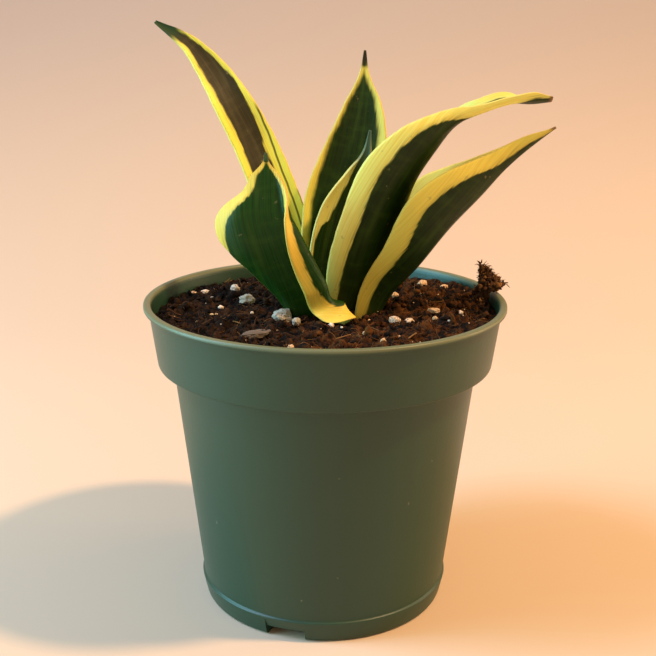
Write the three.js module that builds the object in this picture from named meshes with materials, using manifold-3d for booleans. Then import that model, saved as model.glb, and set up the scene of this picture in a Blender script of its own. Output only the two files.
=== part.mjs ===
// A young variegated snake plant in a round plastic nursery pot.
// Millimetres, +Z up. The origin is the middle of the flat disc that the pot stands on.
import * as THREE from 'three';
import { mergeVertices } from 'three/addons/utils/BufferGeometryUtils.js';
import Module from 'manifold-3d';

const wasm = await Module();
wasm.setup();

// ---- driving dimensions ----

const POT_HEIGHT = 88.5;
const RIM_RADIUS = 51;
const LIP_HEIGHT = 1.4;
const LIP_WIDTH = 1.9;
const WALL = 0.9;
const COLLAR_HEIGHT = 17.4;
const COLLAR_TOP_RADIUS = 49.6;
const COLLAR_FOOT_RADIUS = 47.6;
const BODY_TOP_RADIUS = 43.2;
const BODY_FOOT_RADIUS = 36;
const FOOT_RING_HEIGHT = 6.5;
const FOOT_RADIUS = 34.6;
const FOOT_RING_WIDTH = 4;
const BASE_DISC_RADIUS = 20;
const CHANNEL_DEPTH = 3.2;
const NOTCH_COUNT = 3;
const NOTCH_WIDTH = 11;
const NOTCH_HEIGHT = 3;
const NOTCH_REACH = 1.5;
const FIRST_NOTCH_ANGLE = -107;
const POT_SIDES = 60;
const FINE_EDGE = 0.3;
const LIP_EDGE = 0.4;
const FOOT_FLARE = 0.7;
const FOOT_FLARE_HEIGHT = 0.6;
const CHANNEL_BANK = 2;
const COLLAR_EDGE = 0.8;

const GAP = 0.3;
const LEAF_CLEARANCE = 0.6;
const SOIL_LEVEL = 84.4;
const SOIL_SIDES = 40;
const SOIL_RINGS = 10;
const SOIL_WALL_GAP = 0.42;
const SOIL_LIP_GAP = 1.3;
const SOIL_FALL = { x: 0.012, y: -0.006 };
// A heap against the front leaf and a bank at the rear right: place, height and spread.
const SOIL_HEAPS = [
  { x: -11, y: -11, height: 1, spread: 30 },
  { x: 38, y: 22, height: 1.5, spread: 420 },
];

const LEAF_ROWS = 16;
const LEAF_HALF_COLUMNS = 5;
const LEAF_MID_THICKNESS = 2;
const LEAF_EDGE_THICKNESS = 0.8;
const LEAF_TIP_THICKNESS = 0.8;
const LEAF_TANGENT_STEP = 0.002;

const CRUMB_LIFT = 0.25;
const FINE_CRUMB = 3.5;

const RHIZOME_CENTRE = [4, 0, 71];
const RHIZOME_SIZE = [26, 20, 18];

const degrees = (angle) => angle * Math.PI / 180;

// ---- materials ----

const green_plastic = { color: 0x4f6b5a, roughness: 0.42, metalness: 0 };
const dark_peat = { color: 0x3a2418, roughness: 0.95, metalness: 0 };
const leaf_green = { color: 0x2f5a22, roughness: 0.45, metalness: 0 };
const leaf_yellow_green = { color: 0x8a9a2c, roughness: 0.45, metalness: 0 };
const pale_root = { color: 0xb98f5a, roughness: 0.8, metalness: 0 };
const grey_perlite = { color: 0xb9b8a8, roughness: 0.9, metalness: 0 };
const white_perlite = { color: 0xe6e2d8, roughness: 0.9, metalness: 0 };
const tan_perlite = { color: 0xd9b98a, roughness: 0.9, metalness: 0 };
const grey_bark = { color: 0x6b6258, roughness: 0.95, metalness: 0 };

// ---- solids: a mesh to a manifold and back ----

function solidFrom(geometry) {
  const bare = geometry.index ? geometry : mergeVertices(withPositionOnly(geometry));
  const mesh = new wasm.Mesh({
    numProp: 3,
    vertProperties: new Float32Array(bare.attributes.position.array),
    triVerts: new Uint32Array(bare.index.array),
  });
  return new wasm.Manifold(mesh);
}

function withPositionOnly(geometry) {
  geometry.deleteAttribute('normal');
  geometry.deleteAttribute('uv');
  return geometry;
}

function closedSolid(geometry) {
  return solidFrom(mergeVertices(withPositionOnly(geometry)));
}

function geometryFrom(solid) {
  const mesh = solid.getMesh();
  const geometry = new THREE.BufferGeometry();
  geometry.setAttribute('position', new THREE.BufferAttribute(new Float32Array(mesh.vertProperties), 3));
  geometry.setIndex(new THREE.BufferAttribute(new Uint32Array(mesh.triVerts), 1));
  geometry.computeVertexNormals();
  return geometry;
}

function gridGeometry(points, triangles) {
  const geometry = new THREE.BufferGeometry();
  geometry.setAttribute('position', new THREE.Float32BufferAttribute(points, 3));
  geometry.setIndex(triangles);
  return geometry;
}

// ---- pot ----

const collarFoot = POT_HEIGHT - COLLAR_HEIGHT;
const lipUnderside = POT_HEIGHT - LIP_HEIGHT;
const lipInnerRadius = RIM_RADIUS - LIP_WIDTH;
const channelTop = CHANNEL_DEPTH + WALL;
const ringInnerRadius = FOOT_RADIUS - FOOT_RING_WIDTH;

function potOuterProfile() {
  return [
    [0, 0],
    [BASE_DISC_RADIUS, 0],
    [BASE_DISC_RADIUS + CHANNEL_BANK, CHANNEL_DEPTH],
    [ringInnerRadius - CHANNEL_BANK / 2, CHANNEL_DEPTH],
    [ringInnerRadius, 0],
    [FOOT_RADIUS, 0],
    [FOOT_RADIUS + FOOT_FLARE, FOOT_FLARE_HEIGHT],
    [BODY_FOOT_RADIUS + FINE_EDGE, FOOT_RING_HEIGHT - FINE_EDGE],
    [BODY_FOOT_RADIUS, FOOT_RING_HEIGHT],
    [BODY_TOP_RADIUS, collarFoot],
    [COLLAR_FOOT_RADIUS - COLLAR_EDGE, collarFoot],
    [COLLAR_FOOT_RADIUS - COLLAR_EDGE / 4, collarFoot + COLLAR_EDGE / 4],
    [COLLAR_FOOT_RADIUS, collarFoot + COLLAR_EDGE],
    [COLLAR_TOP_RADIUS, lipUnderside],
    [RIM_RADIUS - FINE_EDGE, lipUnderside],
    [RIM_RADIUS, lipUnderside + LIP_EDGE],
    [RIM_RADIUS, POT_HEIGHT - LIP_EDGE],
    [RIM_RADIUS - FINE_EDGE, POT_HEIGHT],
  ];
}

// The inside of the pot, from the lip down to the middle of the floor.
function potInnerProfile() {
  return [
    [lipInnerRadius + FINE_EDGE, POT_HEIGHT],
    [lipInnerRadius, POT_HEIGHT - FINE_EDGE],
    [COLLAR_TOP_RADIUS - WALL, lipUnderside],
    [COLLAR_FOOT_RADIUS - WALL, collarFoot + 2 * WALL],
    [COLLAR_FOOT_RADIUS - WALL - COLLAR_EDGE, collarFoot + WALL],
    [BODY_TOP_RADIUS - WALL, collarFoot + WALL],
    [BODY_FOOT_RADIUS - WALL, FOOT_RING_HEIGHT],
    [BODY_FOOT_RADIUS - 2 * WALL, channelTop],
    [BASE_DISC_RADIUS + CHANNEL_BANK - WALL, channelTop],
    [BASE_DISC_RADIUS - WALL, WALL],
    [0, WALL],
  ];
}

function potGeometry() {
  const profile = [...potOuterProfile(), ...potInnerProfile()];
  const points = profile.map(([radius, z]) => new THREE.Vector2(radius, z));
  points.push(points[0].clone());
  const lathe = new THREE.LatheGeometry(points, POT_SIDES);
  lathe.rotateX(degrees(90));
  let pot = closedSolid(lathe);
  for (let k = 0; k < NOTCH_COUNT; k += 1) {
    const angle = degrees(FIRST_NOTCH_ANGLE + k * 360 / NOTCH_COUNT);
    const length = 2 * FOOT_RING_WIDTH;
    const cutter = new THREE.BoxGeometry(length, NOTCH_WIDTH, NOTCH_HEIGHT * 2);
    cutter.translate(ringInnerRadius + length / 2 - NOTCH_REACH, 0, 0);
    cutter.rotateZ(angle);
    pot = pot.subtract(closedSolid(cutter));
  }
  return geometryFrom(pot);
}

// ---- leaves ----
// Each leaf is a list of stations along its midrib, from the base to the tip:
// [x, y, z, left half width, right half width, roll, slope at the midrib, slopes at the two margins].
// The halves are measured along the blade. Roll turns the section about the midrib: at 0 the inner
// face looks towards -Y. A slope is how far the blade tilts towards its inner face, in degrees.
// curl gives the part of each half, from 0 at the midrib to 1 at the margin, where the slope changes.

const leaves = {
  long_left_leaf: {
    curl: [0, 1],
    stations: [
      [-5, 6, 78, 4.5, 5, 20, 0, 20, 30],
      [-8, 7, 93, 4.6, 7, 25, 0, 20, 40],
      [-12, 8, 106.5, 5, 7.8, 30, 0, 15, 40],
      [-16.5, 9, 117.5, 5.2, 8.3, 30, 0, 15, 40],
      [-22, 11, 130, 4.9, 8, 30, 0, 15, 40],
      [-28, 12, 141.5, 4.5, 7, 30, 0, 15, 40],
      [-33, 14, 149.5, 3.5, 5.5, 30, 0, 15, 40],
      [-39, 15, 157, 2.1, 3.2, 30, 0, 20, 40],
      [-48, 16, 163.3, 0.5, 0.5, 30, 0, 20, 40],
    ],
  },
  back_leaf: {
    curl: [0, 1],
    stations: [
      [-1, 4, 78, 5, 5, 0, 0, 30, 30],
      [1, 6, 100, 9, 8, 0, 0, 40, 40],
      [4, 9, 113, 11.2, 10, 0, 0, 35, 35],
      [8, 13, 129, 8.8, 9.6, 0, 0, 30, 30],
      [10, 16, 141, 5.2, 6, 0, 0, 30, 30],
      [10.6, 18, 150, 1.3, 1.3, 0, 0, 20, 20],
      [10.7, 18.3, 156, 0.3, 0.3, 0, 0, 20, 20],
    ],
  },
  young_leaf: {
    curl: [0, 1],
    stations: [
      [1, 1, 78, 3, 3, 0, 0, 30, 30],
      [2, 1.5, 100, 7.6, 7, 0, 0, 50, 60],
      [5, 2.5, 113, 7.2, 7, 0, 0, 50, 60],
      [8.5, 3.5, 122, 4, 5, 0, 0, 50, 60],
      [11, 4, 129, 1, 1.5, 0, 0, 40, 40],
      [12, 4.2, 135, 0.3, 0.3, 0, 0, 20, 20],
    ],
  },
  arching_leaf: {
    curl: [0, 1],
    stations: [
      [5.5, -1.5, 78, 4, 5, -130, 0, 20, 30],
      [9.5, -2.5, 93, 6.5, 11, -130, 0, 10, 55],
      [15, -5, 110, 9.5, 13, -130, 0, 5, 60],
      [22.5, -7, 125, 11, 14.3, -125, 0, 45, 60],
      [28.4, -8, 132.8, 10, 11, -120, 0, 60, 60],
      [34.2, -8, 138.4, 7, 6, -105, 0, 70, 80],
      [40.8, -8, 141.4, 5, 3.6, -85, 0, 75, 85],
      [48, -7.5, 143.6, 4.4, 3.3, -85, 0, 70, 80],
      [54, -7, 143.8, 3.2, 3.5, -115, 0, 45, 50],
      [59.3, -6.5, 144.1, 1.5, 1.5, -120, 0, 30, 30],
    ],
  },
  right_leaf: {
    curl: [0, 1],
    stations: [
      [12, -1, 78, 4, 6.5, -115, 10, 30, 30],
      [17.5, -2.5, 90, 7.5, 9.5, -110, 30, 70, 60],
      [25, -3, 98.5, 14.5, 13, -100, 35, 70, 75],
      [34.2, -3, 110, 18.5, 17, -92, 40, 62, 80],
      [42, -3.5, 118.6, 13.5, 13.8, -92, 40, 60, 80],
      [48.8, -4, 126.5, 6.8, 7.2, -92, 40, 60, 80],
      [55.5, -5, 132.8, 3.4, 3.6, -100, 30, 60, 70],
      [61, -6, 137, 0.6, 0.6, -100, 0, 40, 40],
    ],
  },
  front_leaf: {
    curl: [0.4, 0.75],
    stations: [
      [-2.5, -6, 74.5, 7, 4, 180, 0, -30, 30],
      [-3.2, -8, 81, 7.5, 4.5, 180, 0, -40, 50],
      [-4.4, -9.6, 83.8, 17, 4.5, 180, 0, -75, 50],
      [-5.2, -10.2, 85.2, 19.5, 4.5, 180, 0, -145, 50],
      [-6, -10.6, 86.8, 16.8, 4.5, 180, 0, -165, 50],
      [-8.5, -12, 93, 16, 5.5, 180, 0, -170, 35],
      [-11.7, -13, 100.5, 15, 8.5, 180, 0, -160, 20],
      [-14, -14, 107.5, 13, 12.8, 180, 0, -140, 20],
      [-15.7, -14, 114, 9.8, 14.8, 180, 0, -100, 30],
      [-15.8, -13, 120.5, 6.5, 6.5, 180, 0, -50, 20],
      [-15.8, -12.4, 125, 3.5, 3.6, 180, 0, -20, 10],
      [-15.8, -12, 128, 0.9, 1, 180, 0, 0, 0],
      [-15.8, -12, 130.5, 0.35, 0.35, 180, 0, 0, 0],
    ],
  },
};

// Cubic interpolation through the stations, with their chord length as the parameter.
function alongStations(stations) {
  const place = (k) => new THREE.Vector3(...stations[k].slice(0, 3));
  const knots = [0];
  for (let k = 1; k < stations.length; k += 1) {
    knots.push(knots[k - 1] + place(k).distanceTo(place(k - 1)));
  }
  const secant = (k, c) => (stations[k + 1][c] - stations[k][c]) / (knots[k + 1] - knots[k]);
  const last = stations.length - 1;
  function tangent(k, c) {
    if (k === 0) return secant(0, c);
    if (k === last) return secant(last - 1, c);
    const before = knots[k] - knots[k - 1];
    const after = knots[k + 1] - knots[k];
    return (secant(k - 1, c) * after + secant(k, c) * before) / (before + after);
  }
  return function at(t) {
    const s = t * knots[last];
    let k = 0;
    while (k < last - 1 && s > knots[k + 1]) k += 1;
    const h = knots[k + 1] - knots[k];
    const u = (s - knots[k]) / h;
    return stations[0].map((_, c) => {
      const p0 = stations[k][c];
      const p1 = stations[k + 1][c];
      const m0 = tangent(k, c) * h;
      const m1 = tangent(k + 1, c) * h;
      return p0 + u * (m0 + u * (3 * (p1 - p0) - 2 * m0 - m1 + u * (2 * (p0 - p1) + m0 + m1)));
    });
  };
}

// One closed ring of points round the blade at a fraction t of its length.
function leafRing(at, curl, t, grow) {
  const here = at(t);
  const ahead = new THREE.Vector3(...at(Math.min(t + LEAF_TANGENT_STEP, 1)));
  const behind = new THREE.Vector3(...at(Math.max(t - LEAF_TANGENT_STEP, 0)));
  const along = ahead.sub(behind).normalize();
  const level = new THREE.Vector3(-along.z, 0, along.x).normalize();
  const facing = new THREE.Vector3().crossVectors(along, level);
  const [x, y, z, left, right, roll, midSlope, leftSlope, rightSlope] = here;
  const turn = degrees(roll);
  const across = level.clone().multiplyScalar(Math.cos(turn)).addScaledVector(facing, Math.sin(turn));
  const inward = level.clone().multiplyScalar(-Math.sin(turn)).addScaledVector(facing, Math.cos(turn));
  const midThickness = THREE.MathUtils.lerp(LEAF_MID_THICKNESS, LEAF_TIP_THICKNESS, t * t);

  function half(side, width, edgeSlope) {
    const points = [];
    let out = 0;
    let rise = 0;
    for (let j = 0; j <= LEAF_HALF_COLUMNS; j += 1) {
      const u = j / LEAF_HALF_COLUMNS;
      const slopeAt = (v) => degrees(THREE.MathUtils.lerp(
        midSlope, edgeSlope, THREE.MathUtils.smoothstep(v, curl[0], curl[1])));
      if (j > 0) {
        const middle = slopeAt(u - 0.5 / LEAF_HALF_COLUMNS);
        out += Math.cos(middle) * width / LEAF_HALF_COLUMNS;
        rise += Math.sin(middle) * width / LEAF_HALF_COLUMNS;
      }
      const slope = j === 0 ? 0 : slopeAt(u);
      const half = THREE.MathUtils.lerp(midThickness, LEAF_EDGE_THICKNESS, u * u) / 2 + grow;
      const extra = j === LEAF_HALF_COLUMNS ? grow : 0;
      const centre = new THREE.Vector3(x, y, z)
        .addScaledVector(across, side * (out + extra * Math.cos(slope)))
        .addScaledVector(inward, rise + extra * Math.sin(slope));
      const normal = inward.clone().multiplyScalar(Math.cos(slope))
        .addScaledVector(across, -side * Math.sin(slope));
      points.push({
        inner: centre.clone().addScaledVector(normal, half),
        outer: centre.clone().addScaledVector(normal, -half),
      });
    }
    return points;
  }

  const leftHalf = half(1, left, leftSlope);
  const rightHalf = half(-1, right, rightSlope);
  const sheet = [...leftHalf.reverse(), ...rightHalf.slice(1)];
  return [...sheet.map((p) => p.inner), ...sheet.reverse().map((p) => p.outer)];
}

// The blade as one closed solid, grown outwards by grow to make a clearance body.
function leafGeometry({ curl, stations }, grow = 0) {
  const at = alongStations(stations);
  const points = [];
  let count = 0;
  for (let i = 0; i <= LEAF_ROWS; i += 1) {
    const ring = leafRing(at, curl, i / LEAF_ROWS, grow);
    count = ring.length;
    const push = i === 0 ? -grow : (i === LEAF_ROWS ? grow : 0);
    ring.forEach((p) => points.push(p.x, p.y, p.z + push));
  }
  const triangles = [];
  for (let i = 0; i < LEAF_ROWS; i += 1) {
    for (let j = 0; j < count; j += 1) {
      const a = i * count + j;
      const b = i * count + (j + 1) % count;
      triangles.push(a, b, b + count, a, b + count, a + count);
    }
  }
  const half = count / 2;
  const top = LEAF_ROWS * count;
  for (let j = 0; j < half - 1; j += 1) {
    const far = count - 1 - j;
    triangles.push(j, far, j + 1, j + 1, far, far - 1);
    triangles.push(top + j, top + j + 1, top + far, top + j + 1, top + far - 1, top + far);
  }
  return gridGeometry(points, triangles);
}

// ---- soil and what lies in it ----

// Height of the potting mix at a place in the pot: nearly level, with low waves and two heaps.
function soilHeight(x, y) {
  const waves = 0.55 * Math.sin(0.31 * x + 0.4) * Math.cos(0.27 * y - 0.7)
    + 0.35 * Math.sin(0.62 * x - 0.45 * y + 1.3)
    + 0.3 * Math.cos(0.5 * x + 0.74 * y);
  let height = SOIL_LEVEL + SOIL_FALL.x * x + SOIL_FALL.y * y + waves;
  for (const heap of SOIL_HEAPS) {
    height += heap.height * Math.exp(-((x - heap.x) ** 2 + (y - heap.y) ** 2) / heap.spread);
  }
  return height;
}

// Rings of the soil body: from the middle of the floor, up the wall and back over the surface.
function soilGeometry() {
  const wallRings = potInnerProfile().slice(2, -1).reverse()
    .map(([radius, z]) => [radius - SOIL_WALL_GAP, z + SOIL_WALL_GAP]);
  const surfaceRadii = [];
  const edge = lipInnerRadius - SOIL_LIP_GAP;
  for (let k = 0; k < SOIL_RINGS; k += 1) {
    surfaceRadii.push(edge * (1 - k / SOIL_RINGS));
  }
  const rings = [
    ...wallRings.filter(([, z]) => z < SOIL_LEVEL - 2).map(([radius, z]) => ({ radius, z })),
    ...surfaceRadii.map((radius) => ({ radius, z: null })),
  ];
  const points = [0, 0, WALL + GAP];
  for (const { radius, z } of rings) {
    for (let k = 0; k < SOIL_SIDES; k += 1) {
      const angle = 2 * Math.PI * k / SOIL_SIDES;
      const x = radius * Math.cos(angle);
      const y = radius * Math.sin(angle);
      points.push(x, y, z === null ? soilHeight(x, y) : z);
    }
  }
  points.push(0, 0, soilHeight(0, 0));
  const triangles = [];
  const lastPoint = points.length / 3 - 1;
  const ringStart = (k) => 1 + k * SOIL_SIDES;
  for (let k = 0; k < SOIL_SIDES; k += 1) {
    const next = (k + 1) % SOIL_SIDES;
    triangles.push(0, ringStart(0) + next, ringStart(0) + k);
    for (let r = 0; r < rings.length - 1; r += 1) {
      const a = ringStart(r) + k;
      const b = ringStart(r) + next;
      triangles.push(a, b, b + SOIL_SIDES, a, b + SOIL_SIDES, a + SOIL_SIDES);
    }
    const top = ringStart(rings.length - 1);
    triangles.push(top + k, top + next, lastPoint);
  }
  return gridGeometry(points, triangles);
}

// A rough rounded crumb: an icosahedron whose corners are pushed in and out.
function crumbGeometry([length, width, height], seed, grow = 0) {
  const detail = length > FINE_CRUMB ? 1 : 0;
  const crumb = mergeVertices(withPositionOnly(new THREE.IcosahedronGeometry(1, detail)));
  const corner = crumb.attributes.position;
  for (let k = 0; k < corner.count; k += 1) {
    const p = new THREE.Vector3().fromBufferAttribute(corner, k);
    const push = 1 + 0.13 * Math.sin(4 * p.x + seed) * Math.cos(3 * p.y - 2 * seed + p.z * 2);
    p.multiplyScalar(push);
    p.set(p.x * (length / 2 + grow), p.y * (width / 2 + grow), p.z * (height / 2 + grow));
    corner.setXYZ(k, p.x, p.y, p.z);
  }
  return crumb;
}

// Loose pieces lying in the surface: [x, y, length, width, height, heading, material].
const crumbs = {
  perlite_by_front_leaf: [-11.5, -12.8, 5.4, 5, 4.8, 20, grey_perlite],
  perlite_beside_it: [-7.8, -14.6, 2.6, 2.4, 2.4, 50, grey_perlite],
  perlite_left_grey: [-23, 9, 4.8, 3.6, 3.2, 10, grey_perlite],
  perlite_left_rear: [-28, 26.5, 2.8, 2.6, 2.6, 0, white_perlite],
  perlite_left_wall_1: [-40, 20, 2.2, 1.8, 1.8, 30, tan_perlite],
  perlite_left_wall_2: [-36.5, 21.5, 2.9, 1.6, 1.6, 15, white_perlite],
  perlite_left_wall_3: [-34, 16, 1.9, 1.6, 1.4, 40, white_perlite],
  perlite_left_middle: [-30, 3, 1.6, 1.4, 1.4, 10, white_perlite],
  perlite_front_centre: [1.7, -17.5, 1.6, 1.5, 1.5, 10, white_perlite],
  perlite_front_left_1: [-10.9, -38, 2, 1.6, 1.5, 0, tan_perlite],
  perlite_front_left_2: [-8.4, -38.2, 1.7, 1.6, 1.5, 30, tan_perlite],
  perlite_front_1: [10.8, -24.5, 1.7, 1.5, 1.4, 0, tan_perlite],
  perlite_front_2: [14.8, -34, 1.6, 1.4, 1.4, 60, tan_perlite],
  perlite_right_1: [19, -12.8, 3.4, 2.2, 2, 150, tan_perlite],
  perlite_right_2: [23, -12.4, 2.7, 2.2, 2, 20, tan_perlite],
  perlite_right_3: [30.5, -4, 3.7, 1.8, 1.8, 155, tan_perlite],
  perlite_right_4: [30.2, -10.5, 1.6, 1.3, 1.3, 0, tan_perlite],
  perlite_right_5: [37.8, -5, 1.6, 1.4, 1.3, 0, white_perlite],
  perlite_right_rear_1: [29.5, 23.5, 3.2, 2.4, 2.6, 40, tan_perlite],
  perlite_right_rear_2: [36, 22.5, 2.5, 1.6, 1.6, 10, tan_perlite],
  perlite_right_rear_3: [20.5, 13, 2.4, 2, 2, 0, tan_perlite],
  bark_chip: [-18, -25.5, 8.4, 4, 1.8, 35, grey_bark],
};

function placeCrumb(geometry, [x, y, , , height, heading]) {
  geometry.rotateZ(degrees(heading));
  geometry.translate(x, y, soilHeight(x, y) + height * CRUMB_LIFT);
  return geometry;
}

// A matted lump of roots and peat that rests against the rim, as stations of a bent tapering body.
const ROOT_CLUMP_STATIONS = [
  [44, 4.5, 84.8, 2.8],
  [44.8, 5.2, 88.2, 2.5],
  [45.4, 5.5, 89.5, 2.8],
  [47.8, 6.2, 91.2, 3.9],
  [46.6, 7, 93.8, 2],
  [45.2, 8, 96.4, 0.7],
];
const ROOT_CLUMP_SIDES = 12;

function rootClumpGeometry(grow = 0) {
  const points = [];
  ROOT_CLUMP_STATIONS.forEach(([x, y, z, radius], k) => {
    for (let j = 0; j < ROOT_CLUMP_SIDES; j += 1) {
      const angle = 2 * Math.PI * j / ROOT_CLUMP_SIDES;
      const ragged = grow
        + radius * (1 + 0.16 * Math.sin(3 * angle + 1.7 * k) + 0.1 * Math.cos(5 * angle - k));
      points.push(x + ragged * Math.cos(angle), y + ragged * Math.sin(angle), k === 0 ? z - grow : z);
    }
  });
  const last = ROOT_CLUMP_STATIONS.length - 1;
  const foot = points.length / 3;
  const [footX, footY, footZ] = ROOT_CLUMP_STATIONS[0];
  points.push(footX, footY, footZ - grow);
  points.push(...ROOT_CLUMP_STATIONS[last].slice(0, 3));
  const triangles = [];
  for (let j = 0; j < ROOT_CLUMP_SIDES; j += 1) {
    const next = (j + 1) % ROOT_CLUMP_SIDES;
    triangles.push(foot, next, j);
    for (let k = 0; k < last; k += 1) {
      const a = k * ROOT_CLUMP_SIDES + j;
      const b = k * ROOT_CLUMP_SIDES + next;
      triangles.push(a, b, b + ROOT_CLUMP_SIDES, a, b + ROOT_CLUMP_SIDES, a + ROOT_CLUMP_SIDES);
    }
    triangles.push(last * ROOT_CLUMP_SIDES + j, last * ROOT_CLUMP_SIDES + next, foot + 1);
  }
  return gridGeometry(points, triangles);
}

function rhizomeGeometry(grow = 0) {
  const knob = crumbGeometry(RHIZOME_SIZE, 2, grow);
  knob.translate(...RHIZOME_CENTRE);
  return knob;
}

// ---- assembly ----

const plant = new THREE.Group();

function addPart(name, geometry, look) {
  const mesh = new THREE.Mesh(geometry, new THREE.MeshStandardMaterial(look));
  mesh.name = name;
  plant.add(mesh);
}

addPart('nursery_pot', potGeometry(), green_plastic);

let soil = solidFrom(soilGeometry()).subtract(solidFrom(rhizomeGeometry(GAP)));
let rhizome = solidFrom(rhizomeGeometry());

for (const [name, leaf] of Object.entries(leaves)) {
  addPart(name, leafGeometry(leaf), name === 'young_leaf' ? leaf_yellow_green : leaf_green);
  const clearance = solidFrom(leafGeometry(leaf, LEAF_CLEARANCE));
  soil = soil.subtract(clearance);
  rhizome = rhizome.subtract(clearance);
}
addPart('rhizome', geometryFrom(rhizome), pale_root);

Object.entries(crumbs).forEach(([name, crumb], k) => {
  const size = crumb.slice(2, 5);
  addPart(name, placeCrumb(crumbGeometry(size, k), crumb), crumb[6]);
  soil = soil.subtract(solidFrom(placeCrumb(crumbGeometry(size, k, GAP), crumb)));
});

addPart('root_clump', rootClumpGeometry(), dark_peat);
soil = soil.subtract(solidFrom(rootClumpGeometry(GAP)));

// The cuts can leave a loose sliver between two leaf bases, so only the main body is kept.
const soilBodies = soil.decompose().sort((a, b) => b.volume() - a.volume());
addPart('potting_mix', geometryFrom(soilBodies[0]), dark_peat);

export default plant;
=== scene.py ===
"""A young variegated snake plant in a round green plastic nursery pot.

Shapes are worked out in millimetres, with +Z up and the origin under the middle of the pot,
and turned into metres when a mesh is made.
"""

import math
import random

import bmesh
import bpy
import numpy as np
from mathutils import Matrix, Vector, noise


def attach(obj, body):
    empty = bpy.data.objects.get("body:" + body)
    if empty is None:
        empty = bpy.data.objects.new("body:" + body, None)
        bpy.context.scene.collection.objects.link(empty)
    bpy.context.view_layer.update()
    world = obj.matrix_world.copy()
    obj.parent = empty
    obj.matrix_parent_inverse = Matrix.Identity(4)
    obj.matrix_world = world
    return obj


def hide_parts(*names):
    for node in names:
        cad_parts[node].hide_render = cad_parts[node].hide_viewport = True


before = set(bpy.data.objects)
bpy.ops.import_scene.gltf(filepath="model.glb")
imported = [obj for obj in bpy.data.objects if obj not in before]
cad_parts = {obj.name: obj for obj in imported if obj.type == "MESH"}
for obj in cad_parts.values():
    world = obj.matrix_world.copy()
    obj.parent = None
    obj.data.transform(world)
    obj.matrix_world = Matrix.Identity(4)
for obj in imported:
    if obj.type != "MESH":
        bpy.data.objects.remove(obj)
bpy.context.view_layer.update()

MM = 0.001
random.seed(41)

# ---- pot dimensions ----

POT_HEIGHT = 88.5
RIM_RADIUS = 51.0
LIP_HEIGHT = 1.4
LIP_WIDTH = 1.9
WALL = 0.9
COLLAR_HEIGHT = 17.4
COLLAR_TOP_RADIUS = 49.6
COLLAR_FOOT_RADIUS = 47.6
BODY_TOP_RADIUS = 43.2
BODY_FOOT_RADIUS = 36.0
FOOT_RING_HEIGHT = 6.5
FOOT_RADIUS = 34.6
FOOT_RING_WIDTH = 4.0
BASE_DISC_RADIUS = 20.0
CHANNEL_DEPTH = 3.2
NOTCH_COUNT = 3
NOTCH_WIDTH = 11.0
NOTCH_HEIGHT = 3.0
FIRST_NOTCH_ANGLE = -107.0
POT_SIDES = 300
NOTCH_REACH = 1.5
# Painted highlight on the lip: a pale band from this far below the rim's top to this far.
LIP_HIGHLIGHT_FROM = 1.2
LIP_HIGHLIGHT_TO = 0.4

# ---- potting mix ----

SOIL_LEVEL = 84.4
SOIL_RADIUS = 48.2
SOIL_FLOOR = 4.6
SOIL_RINGS = 150
SOIL_SIDES = 640
SOIL_WALL_GAP = 0.5
CRUMB_COUNT = 1900
FIBRE_COUNT = 900
FIBRE_REACH = 47.5
DUST_COUNT = 70
LOOSE_LIFT = 0.25

# ---- leaves ----

LEAF_ROWS = 190
LEAF_HALF_COLUMNS = 30
LEAF_MID_THICKNESS = 2.0
LEAF_EDGE_THICKNESS = 0.8
MARGIN_ROUNDING = 0.05
LEAST_HALF_WIDTH = 0.15
TANGENT_STEP = 0.002


# =====================================================================
# meshes
# =====================================================================


def link(obj):
    bpy.context.scene.collection.objects.link(obj)
    return obj


def mesh_object(name, points, faces, material, sharp_angle=None):
    """An object from points in millimetres, shaded smooth."""
    mesh = bpy.data.meshes.new(name)
    points = np.asarray(points, float) * MM
    mesh.from_pydata(points.tolist(), [], [list(map(int, f)) for f in faces])
    mesh.shade_smooth()
    if sharp_angle is not None:
        mesh.set_sharp_from_angle(angle=math.radians(sharp_angle))
    mesh.update()
    mesh.materials.append(material)
    return link(bpy.data.objects.new(name, mesh))


def store(obj, name, values):
    """Keeps one number or one vector for every point of a mesh."""
    values = np.asarray(values, np.float32)
    if values.ndim == 1:
        layer = obj.data.attributes.new(name, "FLOAT", "POINT")
        layer.data.foreach_set("value", values)
    else:
        layer = obj.data.attributes.new(name, "FLOAT_VECTOR", "POINT")
        layer.data.foreach_set("vector", values.ravel())


class Parts:
    """Gathers many small closed bodies into one mesh, with a tint for each."""

    def __init__(self):
        self.points = []
        self.faces = []
        self.tints = []
        self.count = 0

    def add(self, points, faces, tint):
        self.points.append(points)
        self.faces.extend((np.asarray(faces) + self.count).tolist())
        self.tints.append(np.full(len(points), tint))
        self.count += len(points)

    def build(self, name, material):
        obj = mesh_object(name, np.concatenate(self.points), self.faces, material)
        store(obj, "tint", np.concatenate(self.tints))
        return obj


def ball(subdivisions):
    """Points and triangles of a unit ball."""
    bm = bmesh.new()
    bmesh.ops.create_icosphere(bm, subdivisions=subdivisions, radius=1.0)
    points = np.array([v.co[:] for v in bm.verts])
    faces = np.array([[v.index for v in f.verts] for f in bm.faces])
    bm.free()
    return points, faces


def lumpy(points, seed, roughness, scale=1.3, octaves=3):
    """Pushes the points of a ball in and out."""
    offset = Vector((seed * 3.7, seed * 1.9, -seed * 2.3))
    push = [noise.fractal(Vector(p) * scale + offset, 0.9, 2.1, octaves) for p in points]
    return points * (1 + roughness * np.array(push))[:, None]


def turned(points, heading, tip=0.0, roll=0.0):
    rotation = (
        Matrix.Rotation(math.radians(heading), 3, "Z")
        @ Matrix.Rotation(math.radians(tip), 3, "Y")
        @ Matrix.Rotation(math.radians(roll), 3, "X")
    )
    return points @ np.array(rotation).T


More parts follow.
